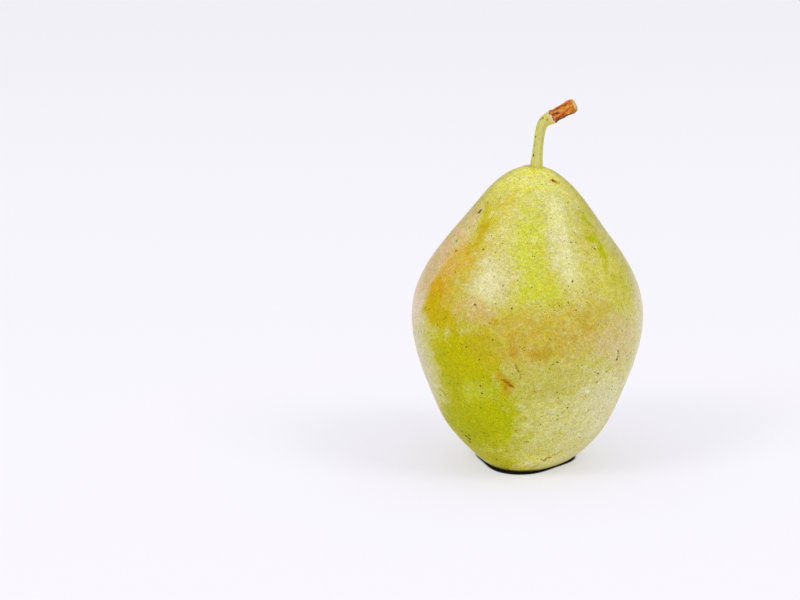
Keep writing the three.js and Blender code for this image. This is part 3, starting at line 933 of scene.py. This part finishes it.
studio = {
    "camera": {"place": (0.00015, -0.66509, 0.21081), "pitch": -13.739, "yaw": 3.229, "lens": 105.0},
    "floor": {
        "half": 6.0,
        "paper": (0.52, 0.51, 0.54, 1.0),
        "shade": (0.01, 0.01, 0.01, 1.0),
        "glow": (0.97, 0.96, 1.0, 1.0),  # the sheet is lit a little from below
        # painted light: near the fruit the floor's glow turns cooler, against the warm light the fruit
        # throws back
        "glowNear": (0.97, 0.97, 1.09, 1.0),  # cooler near the fruit, against the light it throws back
        "nearReach": (0.02, 0.12),
        "finish": {"Roughness": 0.9, "Specular IOR Level": 0.1, "Emission Strength": 0.44},
    },
    # painted shade right under the fruit, a dark spot on the floor: its middle, how far it is dark,
    # where it ends, how far its corners reach
    "paintedShadeSpot": {"middle": (-0.0006, -0.0004, 0.0), "dark": 0.0139, "clear": 0.0148, "corner": 0.0017},
    # direction from the pear in degrees (azimuth from the camera's side, elevation), size in metres,
    # power in watts
    "lights": [
        {"name": "leftSoftbox", "azimuth": -50, "elevation": 42, "size": (0.9, 0.9), "power": 14.4},
        {"name": "rightSoftbox", "azimuth": 64, "elevation": 48, "size": (0.9, 1.0), "power": 13.2},
    ],
    "lightDistance": 2.6,
    "lightAim": (0, 0, 0.05),
    # brightness of the room all round, and what its ceiling adds from one height to another
    "room": {"level": 0.15, "ceiling": 0.85, "heights": (0.1, 0.9), "tint": (0.97, 0.96, 1.0, 1.0)},
}


def makeCamera():
    plan = studio["camera"]
    camera = addObject("camera", bpy.data.cameras.new("camera"))
    camera.location = plan["place"]
    camera.rotation_euler = (math.radians(90 + plan["pitch"]), 0, math.radians(plan["yaw"]))
    camera.data.lens = plan["lens"]
    camera.data.sensor_width = 36.0
    bpy.context.scene.camera = camera


def makeFloor():
    plan = studio["floor"]
    half = plan["half"]
    mesh = bpy.data.meshes.new("floor")
    mesh.from_pydata([(-half, -half, 0), (half, -half, 0), (half, half, 0), (-half, half, 0)], [],
                     [(0, 1, 2, 3)])
    floor = addObject("floor", mesh)
    material, nodes = shaderNodes("floorPaper")
    # painted shade: the floor's colour and glow are dark in a three-cornered spot right under the fruit
    paintedShadeSpot, foot = studio["paintedShadeSpot"], fruit["foot"]
    place = nodes.add("ShaderNodeTexCoord", None, None, "Object")
    x, y = nodes.parts(nodes.vectorMaths("SUBTRACT", place, paintedShadeSpot["middle"]))[:2]
    cornered = nodes.waves(nodes.maths("ARCTAN2", y, x), foot["corners"], foot["turn"])
    away = nodes.vectorMaths("LENGTH", nodes.vector(x, y, 0), output="Value")
    away = away - cornered * paintedShadeSpot["corner"]
    clearOfPaintedShade = nodes.ease(away, paintedShadeSpot["dark"], paintedShadeSpot["clear"])
    near = nodes.ease(away, *plan["nearReach"], 1.0, 0.0)
    glow = nodes.mixColour(near, plan["glow"], plan["glowNear"])
    addSurface(nodes, {"Base Color": nodes.mixColour(clearOfPaintedShade, plan["shade"], plan["paper"]),
                       "Emission Color": nodes.mixColour(clearOfPaintedShade, plan["shade"], glow)}, plan["finish"])
    mesh.materials.append(material)


def makeLights():
    for plan in studio["lights"]:
        lamp = bpy.data.lights.new(plan["name"], "AREA")
        lamp.shape = "RECTANGLE"
        lamp.size, lamp.size_y = plan["size"]
        lamp.energy = plan["power"]
        turn, lift = math.radians(plan["azimuth"]), math.radians(plan["elevation"])
        level = math.cos(lift)
        away = Vector((math.sin(turn) * level, -math.cos(turn) * level, math.sin(lift)))
        light = addObject(plan["name"], lamp)
        light.location = Vector(studio["lightAim"]) + away * studio["lightDistance"]
        light.rotation_euler = away.to_track_quat("Z", "Y").to_euler()
        light.visible_camera = False


def makeRoom():
    world = bpy.data.worlds.new("room")
    bpy.context.scene.world = world
    nodes = emptyNodes(world)
    height = nodes.parts(nodes.add("ShaderNodeTexCoord", None, None, "Generated"))[2]
    plan = studio["room"]
    level = plan["level"] + nodes.ease(height, *plan["heights"], 0, plan["ceiling"])
    seen = nodes.add("ShaderNodeLightPath", None, None, "Is Camera Ray")
    shown = level * (1 - seen) + seen  # plain and pale where it is seen itself
    glow = nodes.add("ShaderNodeBackground", None, {"Color": plan["tint"], "Strength": shown})
    nodes.add("ShaderNodeOutputWorld", None, {"Surface": glow})


makeCamera()
makeFloor()
makeLights()
makeRoom()
print("set up the camera, the floor, the lights and the room")

skinMaterial, skinNodes = shaderNodes("pearSkin")
stemMaterial, stemNodes = shaderNodes("stemBark")
calyxMaterial, calyxNodes = shaderNodes("dryCalyx")
fruitPiece = makeFruit(skinMaterial)
stemPiece = makeStem(stemMaterial)
calyxPiece = makeCalyx(calyxMaterial)

# every mesh was made round the fruit's axis; the frame has the middle of the pear's box there
fruitLow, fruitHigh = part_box("fruit")
madeBox = [Vector(corner) for corner in fruitPiece.bound_box]  # 0 is its low corner and 6 its high one
shift = (Vector(fruitLow) + Vector(fruitHigh) - madeBox[0] - madeBox[6]) / 2
shift.z = 0
for piece in (fruitPiece, stemPiece, calyxPiece):
    piece.data.transform(Matrix.Translation(shift))
print("moved the pieces to the frame by", tuple(shift))
paintSkin(skinNodes, fruitPiece)
paintStem(stemNodes)
paintCalyx(calyxNodes)

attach(fruitPiece, "root")
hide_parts("fruit")
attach(stemPiece, "root")
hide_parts("stem")
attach(calyxPiece, "root")
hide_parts("calyx")

bpy.context.scene.view_settings.view_transform = "Standard"
